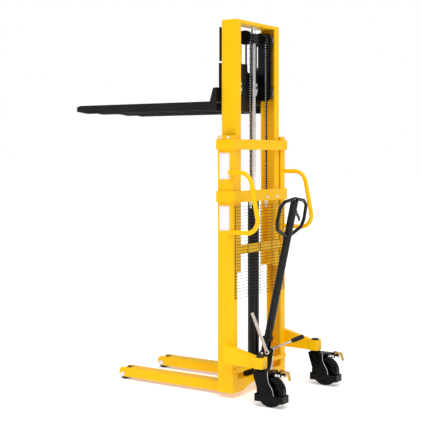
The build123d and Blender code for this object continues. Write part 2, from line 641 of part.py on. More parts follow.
# ---- castors ----
wheel_y = kingpin_y - castor_trail
leg_dx = (wheel_w / 2 + 6, wheel_w / 2 + 12)
castor_axle_r = 8.0
# the side plate's outline: (y, z) about the wheel's centre in wheel radii, below the crown
plate_curve = [(-0.02, 0.62), (-0.38, 0.12), (-0.4, -0.27), (0.62, -0.31), (0.86, 0.16)]
fork_side = [(kingpin_y + block_half, crown_z[1]), (wheel_y + 4, crown_z[1]),
             *[(wheel_y + y * wheel_r, wheel_r + z * wheel_r) for y, z in plate_curve],
             (kingpin_y + 26, crown_z[0] - 21)]
castor_fork = both(plate_yz(fork_side, *leg_dx))
crown_end_y = wheel_y - 19
castor_fork += block(-leg_dx[1], leg_dx[1], crown_end_y, kingpin_y + block_half, *crown_z)
castor_fork += rod_z(30, crown_z[1], block_z0 - free, 0, kingpin_y)
castor_fork += rod_z(king_r, crown_z[1], block_z1 - 1, 0, kingpin_y)
castor_fork += rod_x(castor_axle_r, -leg_dx[1] - 6, leg_dx[1] + 6, wheel_y, wheel_r)
brake_y, brake_z = wheel_y - 61, crown_z[1] + 1
brake_x = (16.0, 24.0)      # the two ears that hold the brake's pin
brake_under_z = crown_z[0] - 4
castor_fork += block(-brake_x[1], brake_x[1], brake_y + 12, crown_end_y + 6, brake_under_z, crown_z[1])
castor_fork += both(block(*brake_x, brake_y - 12, brake_y + 14, brake_under_z, brake_z + 10))
brake_pin_r = 5.0
castor_fork += rod_x(brake_pin_r, -brake_x[1], brake_x[1], brake_y, brake_z)
hoop_half = wheel_r + 6
hoop_dx = leg_dx[1] + 4
hoop_z = (0.35 * wheel_r, 0.82 * wheel_r)
hoop_t = hoop_dx - leg_dx[1]
hoop = block(-hoop_dx, hoop_dx, wheel_y - hoop_half, wheel_y + hoop_half, *hoop_z)
hoop = fillet(upright_edges(hoop), 2 * hoop_t)
hoop_hole = block(-leg_dx[1], leg_dx[1], wheel_y - hoop_half + hoop_t, wheel_y + hoop_half - hoop_t,
                  hoop_z[0] - 1, hoop_z[1] + 1)
hoop -= fillet(upright_edges(hoop_hole), hoop_t)
castor_fork += hoop

wheel = round_edges(rod_x(wheel_r, -wheel_w / 2, wheel_w / 2, wheel_y, wheel_r), 8)
rim_t = 24.0
hub_r = 26.0
boss_gap = 1.5              # between the hub's boss and the side plates
dish_depth = 16.0
dish = rod_x(wheel_r - rim_t, wheel_w / 2 - dish_depth, wheel_w / 2 + 1, wheel_y, wheel_r)
wheel -= both(dish - rod_x(hub_r, 0, wheel_w, wheel_y, wheel_r))
wheel += rod_x(hub_r - 6, -leg_dx[0] + boss_gap, leg_dx[0] - boss_gap, wheel_y, wheel_r)
wheel -= rod_x(castor_axle_r + run, -wheel_w, wheel_w, wheel_y, wheel_r)

pedal_half = brake_x[0] - 2
brake = rod_x(9, -pedal_half, pedal_half, brake_y, brake_z)
brake += block(-pedal_half, pedal_half, brake_y - 54, brake_y, brake_z + 3, brake_z + 9)
tongue = [(brake_y - 44, brake_z + 6), (brake_y - 54, brake_z + 6), (brake_y - 66, brake_z - 38),
          (brake_y - 58, brake_z - 42)]
brake += plate_yz(tongue, -9, 9)
brake -= rod_x(brake_pin_r + run, -60, 60, brake_y, brake_z)
for side, name in left_right:
    at = Pos(side * castor_x, 0, 0)
    parts["castor_fork_" + name] = at * castor_fork
    parts["castor_wheel_" + name] = at * wheel
    parts["castor_brake_" + name] = at * brake

# ---- move everything so that the middle of the truck stands on the origin, and write it ----
boxes = [solid.bounding_box() for solid in parts.values()]
shift_y = -(min(b.min.Y for b in boxes) + max(b.max.Y for b in boxes)) / 2
os.makedirs("parts", exist_ok=True)
for name, solid in parts.items():
    export_step(Pos(0, shift_y, 0) * solid, "parts/" + name + ".step")
print(len(parts), "nodes; shift along Y:", round(shift_y, 3))
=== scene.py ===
"""Looks of a walkie stacker: every visible piece of the truck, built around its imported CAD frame."""

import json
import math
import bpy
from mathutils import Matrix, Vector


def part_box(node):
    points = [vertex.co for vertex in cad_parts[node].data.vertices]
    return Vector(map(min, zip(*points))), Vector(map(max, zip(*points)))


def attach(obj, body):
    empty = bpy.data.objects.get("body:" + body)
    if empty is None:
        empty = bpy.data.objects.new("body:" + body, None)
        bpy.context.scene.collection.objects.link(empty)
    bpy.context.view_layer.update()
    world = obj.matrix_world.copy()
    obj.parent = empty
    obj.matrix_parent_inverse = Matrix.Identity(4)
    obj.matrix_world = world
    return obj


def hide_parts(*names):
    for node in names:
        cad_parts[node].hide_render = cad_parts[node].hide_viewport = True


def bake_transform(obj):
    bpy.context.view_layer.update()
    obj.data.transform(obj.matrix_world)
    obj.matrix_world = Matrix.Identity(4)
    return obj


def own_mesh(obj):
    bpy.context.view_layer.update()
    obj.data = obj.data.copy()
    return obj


bl_info = {
    "name": "Walkie Stacker",
    "version": (1, 0, 0),
    "blender": (4, 5, 0),
    "location": "3D View > Sidebar > Stacker",
    "description": "Builds the finished pieces of a hand-pumped walkie stacker",
    "category": "Object",
}

import bmesh
import bpy
from mathutils import Euler, Matrix, Vector

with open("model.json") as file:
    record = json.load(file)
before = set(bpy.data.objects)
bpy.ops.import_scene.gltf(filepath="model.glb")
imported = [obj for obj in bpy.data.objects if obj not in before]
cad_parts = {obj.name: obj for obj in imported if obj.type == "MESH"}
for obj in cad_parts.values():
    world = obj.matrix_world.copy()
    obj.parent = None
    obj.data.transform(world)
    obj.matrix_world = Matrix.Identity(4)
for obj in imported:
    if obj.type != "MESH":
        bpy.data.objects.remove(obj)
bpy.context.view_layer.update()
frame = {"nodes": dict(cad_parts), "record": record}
MM = 0.001
SIDES = ("left", "right")


# ---------------------------------------------------------------- settings

class PaintSettings(bpy.types.PropertyGroup):
    """Colours of the finishes, as sRGB hex values."""
    mast_yellow: bpy.props.StringProperty(
        name="Mast yellow", description="Powder coat on the mast and chassis", default="F9BC00")
    satin_black: bpy.props.StringProperty(
        name="Satin black", description="Powder coat on the carriage, tiller and castors", default="0B0B0C")
    nylon_black: bpy.props.StringProperty(
        name="Nylon black", description="Moulded nylon of the wheels, caps and pads", default="0D0D0E")
    passivate: bpy.props.StringProperty(
        name="Yellow passivate", description="Yellow zinc on the brake levers", default="C79B35")


class EdgeSettings(bpy.types.PropertyGroup):
    """How far edges are broken on each kind of part."""
    section: bpy.props.FloatProperty(
        name="Rolled section", description="Edge radius of the mast rails", default=0.0022, unit="LENGTH")
    plate: bpy.props.FloatProperty(
        name="Cut plate", description="Edge radius of flame-cut plate", default=0.0012, unit="LENGTH")
    machined: bpy.props.FloatProperty(
        name="Machined", description="Edge break on turned and milled parts", default=0.0006, unit="LENGTH")


class ChainSettings(bpy.types.PropertyGroup):
    """The lifting chain, drawn a size coarser than such a truck's own so that single links show."""
    pitch: bpy.props.FloatProperty(
        name="Pitch", description="Distance between pins", default=0.015875, unit="LENGTH")
    roller: bpy.props.FloatProperty(
        name="Roller radius", description="Radius of the rollers", default=0.0042, unit="LENGTH")
    width: bpy.props.FloatProperty(
        name="Width", description="Length of a pin, end to end", default=0.014, unit="LENGTH")
    pin: bpy.props.FloatProperty(
        name="Pin head radius", description="Radius of a riveted pin head", default=0.0038, unit="LENGTH")
    plate: bpy.props.FloatProperty(
        name="Plate half depth", description="Half the depth of a link plate", default=0.0062, unit="LENGTH")


class GuardSettings(bpy.types.PropertyGroup):
    """The welded wire guard behind the mast."""
    wire: bpy.props.FloatProperty(
        name="Wire radius", description="Radius of the drawn wire", default=0.0014, unit="LENGTH")
    pitch: bpy.props.FloatProperty(
        name="Row pitch", description="Distance between level wires", default=0.019, unit="LENGTH")
    uprights: bpy.props.IntProperty(
        name="Uprights", description="Number of upright wires", default=5)


class StageSettings(bpy.types.PropertyGroup):
    """Camera, floor and light."""
    camera_place: bpy.props.FloatVectorProperty(
        name="Camera place", description="Where the camera stands", default=(-5.437, -3.7175, 1.473),
        subtype="TRANSLATION", unit="LENGTH")
    camera_heading: bpy.props.FloatProperty(
        name="Heading", description="Turn from straight ahead to the right", default=math.radians(56.1),
        subtype="ANGLE")
    camera_tilt: bpy.props.FloatProperty(
        name="Tilt", description="Lift above level", default=math.radians(0.46), subtype="ANGLE")
    lens: bpy.props.FloatProperty(name="Lens", description="Focal length in millimetres", default=86.2)
    shift: bpy.props.FloatProperty(name="Shift", description="Rise of the lens", default=-0.154)
    floor_half: bpy.props.FloatProperty(
        name="Floor", description="Half the floor's side", default=60.0, unit="LENGTH")
    sky: bpy.props.FloatProperty(name="Sky", description="Brightness of the soft light", default=0.5)
    key: bpy.props.FloatProperty(name="Key", description="Brightness of the key light", default=2.1)


# ---------------------------------------------------------------- node trees

def add(tree, kind, links=None, **settings):
    """Adds one node, sets its properties, and sets or links its inputs."""
    node = tree.nodes.new(kind)
    for name, value in settings.items():
        setattr(node, name, value)
    for key, value in (links or {}).items():
        if isinstance(value, bpy.types.NodeSocket):
            tree.links.new(value, node.inputs[key])
        else:
            node.inputs[key].default_value = value
    return node


def linear(hex_colour):
    """An sRGB hex value as linear red, green, blue and alpha."""
    out = []
    for at in (0, 2, 4):
        c = int(hex_colour[at:at + 2], 16) / 255
        out.append(c / 12.92 if c <= 0.04045 else ((c + 0.055) / 1.055) ** 2.4)
    return (*out, 1.0)


def new_material(name):
    """A new material with an empty tree, and the tree."""
    made = bpy.data.materials.new(name)
    made.use_nodes = True
    made.node_tree.nodes.clear()
    return made, made.node_tree


def surfaced(made, sockets):
    """The material, ended in a Principled shader whose inputs are set or linked."""
    principled = add(made.node_tree, "ShaderNodeBsdfPrincipled", sockets)
    add(made.node_tree, "ShaderNodeOutputMaterial", {"Surface": principled.outputs["BSDF"]})
    return made


def object_noise(tree, grain_mm, detail=2.0, roughness=0.5):
    """Noise on object coordinates, whose features are grain_mm across."""
    where = add(tree, "ShaderNodeTexCoord")
    noise = add(tree, "ShaderNodeTexNoise", {
        "Vector": where.outputs["Object"], "Scale": 1 / (grain_mm * MM), "Detail": detail,
        "Roughness": roughness})
    return noise.outputs["Fac"]


# noise seldom leaves this range, so it is stretched over all of what it drives
NOISE_LOW = 0.3
NOISE_HIGH = 0.7


def film(tree, noise, tones, rough, wear_noise=None):
    """Colour and roughness of a finish, each drifting between two values with the noise.

    The roughness follows wear_noise where one is given, and one number makes it even.
    """
    ramp = add(tree, "ShaderNodeValToRGB", {"Fac": noise})
    for stop, at, tone in zip(ramp.color_ramp.elements, (NOISE_LOW, NOISE_HIGH), tones):
        stop.position = at
        stop.color = linear(tone)
    if isinstance(rough, tuple):
        rough = add(tree, "ShaderNodeMapRange", {
            "Value": wear_noise or noise, "From Min": NOISE_LOW, "From Max": NOISE_HIGH, "To Min": rough[0],
            "To Max": rough[1]}).outputs["Result"]
    return {"Base Color": ramp.outputs["Color"], "Roughness": rough}


# ---------------------------------------------------------------- materials

def powder_coat_yellow(paint):
    """Gloss polyester powder coat over steel: thick, with a soft orange peel and a clear top."""
    made, tree = new_material("powder_coat_yellow")
    cloud = object_noise(tree, 260.0, 3.0)
    peel = object_noise(tree, 2.4, 1.0)
    # the film is a little duller where it has been handled and dusted
    dust = object_noise(tree, 14.0, 4.0, 0.7)
    bump = add(tree, "ShaderNodeBump", {"Height": peel, "Strength": 0.10, "Distance": 0.2 * MM})
    return surfaced(made, film(tree, cloud, (paint.mast_yellow, "FCC400"), (0.34, 0.46), dust) | {
        "IOR": 1.5, "Specular IOR Level": 0.15, "Coat Weight": 0.05, "Coat Roughness": 0.12,
        "Normal": bump.outputs["Normal"]})


def powder_coat_black(paint):
    """Satin black powder coat: fine texture, broad dull highlights."""
    made, tree = new_material("powder_coat_black")
    texture = object_noise(tree, 1.6)
    cloud = object_noise(tree, 90.0, 3.0)
    bump = add(tree, "ShaderNodeBump", {"Height": texture, "Strength": 0.2, "Distance": 0.2 * MM})
    return surfaced(made, film(tree, cloud, (paint.satin_black, "111213"), (0.26, 0.38)) | {
        "IOR": 1.5, "Specular IOR Level": 0.25, "Normal": bump.outputs["Normal"]})


def castor_lip_painted_highlight():
    """The castor's lip in pale bright steel: a painted highlight along the side plates' rear edges."""
    made, tree = new_material("worn_steel_lip")
    highlight_mottle = object_noise(tree, 7.0, 3.0, 0.7)
    # painted highlight: pale steel tones that stand for light caught on the plates' edges
    return surfaced(made, film(tree, highlight_mottle, ("BEBEBD", "F6F6F6"), (0.45, 0.3)) | {"Metallic": 0.5})


def castor_enamel():
    """Black on the castors, darker and wetter than the powder coat: the darker tone is painted shade."""
    made, tree = new_material("stoved_black_enamel")
    runs = object_noise(tree, 22.0)
    bump = add(tree, "ShaderNodeBump", {"Height": runs, "Strength": 0.15, "Distance": 0.6 * MM})
    # painted shade: near-black tones, darker than the powder coat's black
    return surfaced(made, film(tree, runs, ("030303", "060606"), (0.20, 0.32)) | {
        "IOR": 1.5, "Specular IOR Level": 0.12, "Normal": bump.outputs["Normal"]})


def moulded_nylon(paint):
    """Glass-filled black nylon: matt, faintly mottled from the mould."""
    made, tree = new_material("moulded_nylon_black")
    mottle = object_noise(tree, 5.0, 3.0)
    bump = add(tree, "ShaderNodeBump", {"Height": mottle, "Strength": 0.15, "Distance": 0.3 * MM})
    return surfaced(made, film(tree, mottle, (paint.nylon_black, "161617"), (0.38, 0.52)) | {
        "IOR": 1.53, "Specular IOR Level": 0.35, "Normal": bump.outputs["Normal"]})


def rubber_grip():
    """Moulded rubber: very dull, with a fine pebble."""
    made, tree = new_material("moulded_rubber")
    pebble = object_noise(tree, 1.2, 1.0)
    bump = add(tree, "ShaderNodeBump", {"Height": pebble, "Strength": 0.5, "Distance": 0.3 * MM})
    return surfaced(made, film(tree, pebble, ("101010", "1B1B1B"), 0.8) | {
        "IOR": 1.52, "Normal": bump.outputs["Normal"]})


def hard_chrome():
    """Ground and polished hard chrome: mirror bright, with a hair of lengthwise wiping."""
    made, tree = new_material("hard_chrome")
    where = add(tree, "ShaderNodeTexCoord")
    # wiping marks run along the rod, so the pattern is stretched along Z
    squeeze = add(tree, "ShaderNodeMapping", {"Vector": where.outputs["Object"], "Scale": (1.0, 1.0, 0.03)})
    marks = add(tree, "ShaderNodeTexNoise", {
        "Vector": squeeze.outputs["Vector"], "Scale": 900.0, "Detail": 2.0})
    bright = film(tree, marks.outputs["Fac"], ("E6E7E9", "F6F6F7"), (0.14, 0.26))
    return surfaced(made, bright | {"Metallic": 1.0})


def zinc_plate():
    """Bright zinc on pressed and turned steel: pale, slightly cloudy metal."""
    made, tree = new_material("zinc_plate")
    cloud = object_noise(tree, 6.0, 3.0)
    # the passivation film scatters some light, so the plate is less of a mirror than bare metal
    return surfaced(made, film(tree, cloud, ("DDDFE1", "F1F2F2"), (0.4, 0.55)) | {"Metallic": 0.6})


def oiled_steel():
    """Blackened chain steel with a film of oil: dark metal with wet highlights."""
    made, tree = new_material("oiled_chain_steel")
    oil = object_noise(tree, 3.0, 3.0)
    return surfaced(made, film(tree, oil, ("141210", "26231F"), (0.3, 0.5)) | {"Metallic": 1.0})


def chain_pin_painted_highlight():
    """Pin ends and rollers of the chain, pale half-metal steel in oil: partly their own bright steel, partly
    a painted highlight that stays light in shade.
    """
    made, tree = new_material("polished_chain_pin")
    oil = object_noise(tree, 4.0)
    # painted highlight: a pale, mostly diffuse tone keeps the pins light even in shade
    return surfaced(made, film(tree, oil, ("E2E2E1", "F8F8F7"), (0.3, 0.45)) | {"Metallic": 0.3})


def bearing_steel():
    """Ground bearing steel of the rollers: grey metal, brushed by rolling."""
    made, tree = new_material("bearing_steel")
    grain = object_noise(tree, 2.0, 3.0)
    return surfaced(made, film(tree, grain, ("8B8C8E", "A9AAAC"), (0.3, 0.45)) | {"Metallic": 1.0})


def yellow_passivate(paint):
    """Yellow chromate over zinc: brassy, with faint rainbow drift in the film."""
    made, tree = new_material("yellow_passivated_zinc")
    drift = object_noise(tree, 18.0)
    return surfaced(made, film(tree, drift, (paint.passivate, "D8BC62"), (0.25, 0.38)) | {"Metallic": 1.0})


def vinyl(name, tones, roughness):
    """Printed vinyl film: smooth and faintly glossy."""
    made, tree = new_material(name)
    wave = object_noise(tree, 30.0, 1.0)
    return surfaced(made, film(tree, wave, tones, roughness) | {"IOR": 1.5})


def studio_floor():
    """A painted studio cove: pale, matt, barely mottled."""
    made, tree = new_material("studio_floor")
    mottle = object_noise(tree, 900.0)
    # the cove is lit from below too, so that shadows on it stay faint
    return surfaced(made, film(tree, mottle, ("FBFBFB", "FDFDFD"), 0.9) | {
        "IOR": 1.45, "Emission Color": linear("FFFFFF"), "Emission Strength": 0.3})


FINISH = {}


def make_finishes():
    paint = bpy.context.scene.stacker_paint
    FINISH.update(
        yellow=powder_coat_yellow(paint), black=powder_coat_black(paint), nylon=moulded_nylon(paint),
        rubber=rubber_grip(), chrome=hard_chrome(), zinc=zinc_plate(), chain=oiled_steel(),
        pin=chain_pin_painted_highlight(), enamel=castor_enamel(), bearing=bearing_steel(),
        passivate=yellow_passivate(paint), lip=castor_lip_painted_highlight(), floor=studio_floor(),
        white=vinyl("vinyl_white", ("EDEDEB", "F6F6F5"), 0.35),
        grey=vinyl("vinyl_grey", ("9A9B9D", "A6A7A9"), 0.4))


# ---------------------------------------------------------------- mesh helpers

# edges that turn less than FLAT lie in one face, and those that turn more than BROKEN are bevelled
FLAT = math.radians(0.6)
BROKEN = math.radians(38)
MERGED = 0.002 * MM


def body_of(node):
    return next(b for b, nodes in frame["record"]["behaviour"]["bodies"].items() if node in nodes)


def corners(node):
    """The low and high corners of a CAD node's box."""
    low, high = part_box(node)
    return Vector(low), Vector(high)


def middle(node):
    low, high = corners(node)
    return (low + high) / 2


def link_object(name, data):
    piece = bpy.data.objects.new(name, data)
    bpy.context.scene.collection.objects.link(piece)
    return piece


def baked(piece):
    """The piece with its modifiers turned into plain mesh."""
    graph = bpy.context.evaluated_depsgraph_get()
    mesh = bpy.data.meshes.new_from_object(piece.evaluated_get(graph), depsgraph=graph)
    piece.modifiers.clear()
    if piece.type == "MESH":
        piece.data = mesh
        return piece
    name = piece.name
    bpy.data.objects.remove(piece)
    return link_object(name, mesh)


def shade(mesh, sharp_degrees=35.0):
    """Smooth faces, with edges kept sharp where the faces turn more than the angle."""
    mesh.polygons.foreach_set("use_smooth", [True] * len(mesh.polygons))
    mesh.set_sharp_from_angle(angle=math.radians(sharp_degrees))


def wear(piece, finish):
    piece.data.materials.clear()
    piece.data.materials.append(FINISH[finish])


def stand_for(piece, finish, node):
    """Gives a piece its finish, its body and the CAD node that it stands for."""
    wear(piece, finish)
    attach(piece, body_of(node))
    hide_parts(node)


def added(piece, finish, body):
    """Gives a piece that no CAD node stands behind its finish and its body."""
    wear(piece, finish)
    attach(piece, body)


def soften(finish, width, *nodes, segments=2):
    """Each CAD node's shape with merged faces and broken edges, standing for the node."""
    for node in nodes:
        made = bmesh.new()
        made.from_mesh(frame["nodes"][node].data)
        bmesh.ops.remove_doubles(made, verts=made.verts, dist=MERGED)
        bmesh.ops.dissolve_limit(made, angle_limit=FLAT, verts=made.verts, edges=made.edges)
        mesh = bpy.data.meshes.new(node + "_finished")
        made.to_mesh(mesh)
        made.free()
        piece = link_object(node + "_finished", mesh)
        bevel = piece.modifiers.new("edges", "BEVEL")
        bevel.width = width
        bevel.segments = segments
        bevel.limit_method = "ANGLE"
        bevel.angle_limit = BROKEN
        bevel.use_clamp_overlap = True
        piece = baked(piece)
        shade(piece.data, 40)
        normals = piece.modifiers.new("normals", "WEIGHTED_NORMAL")
        normals.keep_sharp = True
        stand_for(baked(piece), finish, node)


def from_bmesh(name, made):
    mesh = bpy.data.meshes.new(name)
    bmesh.ops.recalc_face_normals(made, faces=made.faces)
    made.to_mesh(mesh)
    made.free()
    shade(mesh)
    return link_object(name, mesh)


def turned(profile, steps=48, axis="X", centre=(0, 0, 0)):
    """A bmesh turned from (radius, along) points about X or Z, through centre."""
    made = bmesh.new()
    rings = []
    for radius, along in profile:
        if radius < 1e-7:
            rings.append([made.verts.new((along, 0, 0))])
            continue
        ring = []
        for step in range(steps):
            turn = 2 * math.pi * step / steps
            ring.append(made.verts.new((along, radius * math.cos(turn), radius * math.sin(turn))))
        rings.append(ring)
    for first, second in zip(rings, rings[1:]):
        for step in range(steps):
            after = (step + 1) % steps
            around = [first[step % len(first)], first[after % len(first)],
                      second[after % len(second)], second[step % len(second)]]
            unique = list(dict.fromkeys(around))
            if len(unique) > 2:
                made.faces.new(unique)
    if axis == "Z":
        made.transform(Matrix.Rotation(-math.pi / 2, 4, "Y"))
    made.transform(Matrix.Translation(Vector(centre)))
    return made


def joined(*meshes):
    """Several bmeshes as one."""
    whole = bmesh.new()
    for made in meshes:
        step = bpy.data.meshes.new("step")
        made.to_mesh(step)
        made.free()
        whole.from_mesh(step)
        bpy.data.meshes.remove(step)
    return whole


def slab(low, high):
    """A bmesh box between two corners."""
    made = bmesh.new()
    bmesh.ops.create_cube(made, size=1.0)
    size = Vector(high) - Vector(low)
    made.transform(Matrix.Translation((Vector(low) + Vector(high)) / 2) @ Matrix.Diagonal((*size, 1.0)))
    return made


def prism(near, far):
    """A bmesh between two outlines of as many points each."""
    made = bmesh.new()
    first = [made.verts.new(point) for point in near]
    second = [made.verts.new(point) for point in far]
    made.faces.new(first)
    made.faces.new(list(reversed(second)))
    for at in range(len(first)):
        after = (at + 1) % len(first)
        made.faces.new((first[at], second[at], second[after], first[after]))
    return made


def tube(name, points, radius):
    """A round tube along a smooth curve drawn by control points."""
    curve = bpy.data.curves.new(name, "CURVE")
    curve.dimensions = "3D"
    spline = curve.splines.new("NURBS")
    spline.points.add(len(points) - 1)
    for at, point in enumerate(points):
        spline.points[at].co = (*point, 1.0)
    spline.order_u = 3
    spline.use_endpoint_u = True
    spline.resolution_u = 8
    curve.bevel_depth = radius
    curve.bevel_resolution = 5
    curve.use_fill_caps = True
    piece = baked(link_object(name, curve))
    shade(piece.data, 50)
    return piece


def fused(name, pieces):
    """Several mesh objects as one."""
    whole = bmesh.new()
    for piece in pieces:
        whole.from_mesh(piece.data)
        bpy.data.objects.remove(piece)
    return from_bmesh(name, whole)


def repeated(name, tree, carrier, inputs):
    """Runs a geometry tree on the carrier object and keeps the result as plain mesh."""
    modifier = carrier.modifiers.new(name, "NODES")
    modifier.node_group = tree
    for item in tree.interface.items_tree:
        if item.item_type == "SOCKET" and item.in_out == "INPUT" and item.name in inputs:
            modifier[item.identifier] = inputs[item.name]
    carrier.name = name
    piece = baked(carrier)
    piece.name = name
    shade(piece.data)
    return piece


def geometry_tree(name, sizes):
    """A geometry tree with named inputs: (name, socket kind, default)."""
    tree = bpy.data.node_groups.new(name, "GeometryNodeTree")
    tree.interface.new_socket("Geometry", in_out="INPUT", socket_type="NodeSocketGeometry")
    for label, kind, default in sizes:
        socket = tree.interface.new_socket(label, in_out="INPUT", socket_type=kind)
        if default is not None:
            socket.default_value = default
    tree.interface.new_socket("Geometry", in_out="OUTPUT", socket_type="NodeSocketGeometry")
    return tree, add(tree, "NodeGroupInput").outputs


def close_tree(tree, geometry, material):
    """Ends a tree in Realize Instances and Set Material."""
    real = add(tree, "GeometryNodeRealizeInstances", {"Geometry": geometry})
    done = add(tree, "GeometryNodeSetMaterial", {"Geometry": real.outputs["Geometry"], "Material": material})
    add(tree, "NodeGroupOutput", {"Geometry": done.outputs["Geometry"]})


def points_object(name, places, directions):
    """A mesh of loose points, each with the direction that its instance faces."""
    mesh = bpy.data.meshes.new(name)
    mesh.from_pydata([tuple(p) for p in places], [], [])
    facing = mesh.attributes.new("facing", "FLOAT_VECTOR", "POINT")
    facing.data.foreach_set("vector", [c for d in directions for c in d])
    return link_object(name, mesh)


class StackerOperator:
    bl_options = {"REGISTER", "UNDO"}


# ---------------------------------------------------------------- stage

def studio_walls(soft_light):
    """A world that shows white, and lights the truck less than it shows."""
    world = bpy.data.worlds.new("studio")
    world.use_nodes = True
    tree = world.node_tree
    tree.nodes.clear()
    seen = add(tree, "ShaderNodeLightPath")
    walls = add(tree, "ShaderNodeBackground", {"Color": linear("FFFFFF"), "Strength": 1.0})
    soft = add(tree, "ShaderNodeBackground", {"Color": linear("FFFFFF"), "Strength": soft_light})
    mixed = add(tree, "ShaderNodeMixShader", {
        0: seen.outputs["Is Camera Ray"], 1: soft.outputs["Background"], 2: walls.outputs["Background"]})
    add(tree, "ShaderNodeOutputWorld", {"Surface": mixed.outputs["Shader"]})
    return world


def softbox_bank(brightness):
    """Broad light from high up behind the camera."""
    key = bpy.data.lights.new("softbox_bank", "SUN")
    key.energy = brightness
    key.angle = math.radians(45)
    shines_along = Vector((0.35, 0.30, -0.88))
    link_object("softbox_bank", key).rotation_euler = shines_along.to_track_quat("-Z", "Y").to_euler()


def camera(stage):
    lens = bpy.data.cameras.new("camera")
    lens.lens = stage.lens
    lens.sensor_width = 36.0
    lens.shift_y = stage.shift
    lens.clip_end = 200.0
    made = link_object("camera", lens)
    made.location = stage.camera_place
    made.rotation_euler = Euler((math.pi / 2 + stage.camera_tilt, 0.0, -stage.camera_heading))
    return made


class STACKER_OT_stage(StackerOperator, bpy.types.Operator):
    """Floor, soft studio light and the camera"""
    bl_idname = "stacker.stage"
    bl_label = "Stage"

    def execute(self, context):
        stage = context.scene.stacker_stage
        made = bmesh.new()
        bmesh.ops.create_grid(made, x_segments=2, y_segments=2, size=stage.floor_half)
        floor = from_bmesh("studio_floor", made)
        wear(floor, "floor")
        context.scene.world = studio_walls(stage.sky)
        softbox_bank(stage.key)
        context.scene.camera = camera(stage)
        context.scene.view_settings.view_transform = "Standard"
        return {"FINISHED"}


# ---------------------------------------------------------------- steelwork

class STACKER_OT_mast(StackerOperator, bpy.types.Operator):
    """Outer mast rails, crossbars and the arched base"""
    bl_idname = "stacker.mast"
    bl_label = "Outer mast"

    def execute(self, context):
        edge = context.scene.stacker_edges
        soften("yellow", edge.section, "mast_rail_left", "mast_rail_right", segments=3)
        soften("yellow", edge.plate, "crossbar_upper", "crossbar_lower", "base_frame")
        soften("nylon", edge.machined, "mast_guide_pads")
        return {"FINISHED"}


class STACKER_OT_legs(StackerOperator, bpy.types.Operator):
    """Support legs with their rollers and axles"""
    bl_idname = "stacker.legs"
    bl_label = "Support legs"

    def execute(self, context):
        edge = context.scene.stacker_edges
        for side in SIDES:
            soften("yellow", edge.plate, "leg_" + side)
            soften("nylon", edge.machined, "leg_roller_" + side)
        soften("zinc", edge.machined, "leg_axles")
        return {"FINISHED"}


class STACKER_OT_outriggers(StackerOperator, bpy.types.Operator):
    """Castor outriggers, kingpin caps and grab handles"""
    bl_idname = "stacker.outriggers"
    bl_label = "Outriggers and handles"

    def execute(self, context):
        edge = context.scene.stacker_edges
        for side in SIDES:
            soften("yellow", edge.plate, "outrigger_" + side)
            soften("yellow", edge.machined, "grab_handle_" + side)
        soften("nylon", edge.machined, "kingpin_caps")
        return {"FINISHED"}


class STACKER_OT_inner_mast(StackerOperator, bpy.types.Operator):
    """The raised inner mast and its rollers"""
    bl_idname = "stacker.inner_mast"
    bl_label = "Inner mast"

    def execute(self, context):
        edge = context.scene.stacker_edges
        soften("yellow", edge.section, "inner_rail_left", "inner_rail_right", segments=3)
        soften("yellow", edge.plate, "inner_top_plate", "inner_lower_tie")
        soften("nylon", edge.machined, "barrel_guides")
        soften("zinc", edge.machined, "mast_roller_axles")
        soften("bearing", edge.machined, "mast_rollers")
        return {"FINISHED"}


class STACKER_OT_lift(StackerOperator, bpy.types.Operator):
    """Cylinder, rod, yoke and sheaves"""
    bl_idname = "stacker.lift"
    bl_label = "Lift cylinder"

    def execute(self, context):
        edge = context.scene.stacker_edges
        soften("black", edge.machined, "cylinder_barrel", "cylinder_gland")
        soften("chrome", edge.machined, "lift_rod")
        soften("black", edge.machined, "sheave_yoke", "sheave_left", "sheave_right")
        soften("zinc", edge.machined, "chain_anchors_mast", "chain_anchors_carriage")
        # the turned pin that guides the yoke under the head plate is bright, with a groove near its foot
        shaft = middle("sheave_right")
        foot = shaft.z + 30 * MM
        head = corners("sheave_yoke")[1].z - 0.2 * MM
        r = 14.5 * MM
        groove_r = r - 0.3 * MM
        profile = [(0, foot), (r, foot), (r, foot + 5 * MM), (groove_r, foot + 6 * MM),
                   (groove_r, foot + 8 * MM), (r, foot + 9 * MM), (r, head - MM), (r - MM, head), (0, head)]
        guide = from_bmesh("yoke_guide_pin", turned(profile, 40, "Z", (0, shaft.y, 0)))
        added(guide, "chrome", "lift_rod")
        return {"FINISHED"}


class STACKER_OT_carriage(StackerOperator, bpy.types.Operator):
    """Carriage, forks, backrest and carriage rollers"""
    bl_idname = "stacker.carriage"
    bl_label = "Carriage and forks"

    def execute(self, context):
        edge = context.scene.stacker_edges
        soften("black", edge.plate, "carriage_frame", "backrest", "fork_left", "fork_right")
        soften("bearing", edge.machined, "carriage_rollers_upper", "carriage_rollers_lower")
        soften("zinc", edge.machined, "carriage_axles")
        return {"FINISHED"}


class STACKER_OT_pump(StackerOperator, bpy.types.Operator):
    """Pump block, plunger, tiller lugs and pin"""
    bl_idname = "stacker.pump"
    bl_label = "Hydraulic pump"

    def execute(self, context):
        edge = context.scene.stacker_edges
        soften("black", edge.machined, "pump_body", "pump_lugs")
        soften("chrome", edge.machined, "pump_plunger")
        soften("zinc", edge.machined, "tiller_pin")
        return {"FINISHED"}


class STACKER_OT_tiller(StackerOperator, bpy.types.Operator):
    """Tiller, its loop handle and its release lever"""
    bl_idname = "stacker.tiller"
    bl_label = "Tiller"

    def execute(self, context):
        edge = context.scene.stacker_edges
        soften("black", edge.machined, "tiller_arm", "tiller_loop", "release_lever")
        # a bright V strap behind the foot holds the release linkage
        pin = middle("tiller_pin")
        back = pin.y - 54 * MM
        thick = 3 * MM
        outline = ((-17, 28), (-10, 28), (0, 6), (10, 28), (17, 28), (3, -8), (-3, -8))
        near, far = ([(pin.x + x * MM, y, pin.z + z * MM) for x, z in outline] for y in (back, back - thick))
        added(from_bmesh("linkage_strap", prism(near, far)), "zinc", "tiller")
        return {"FINISHED"}


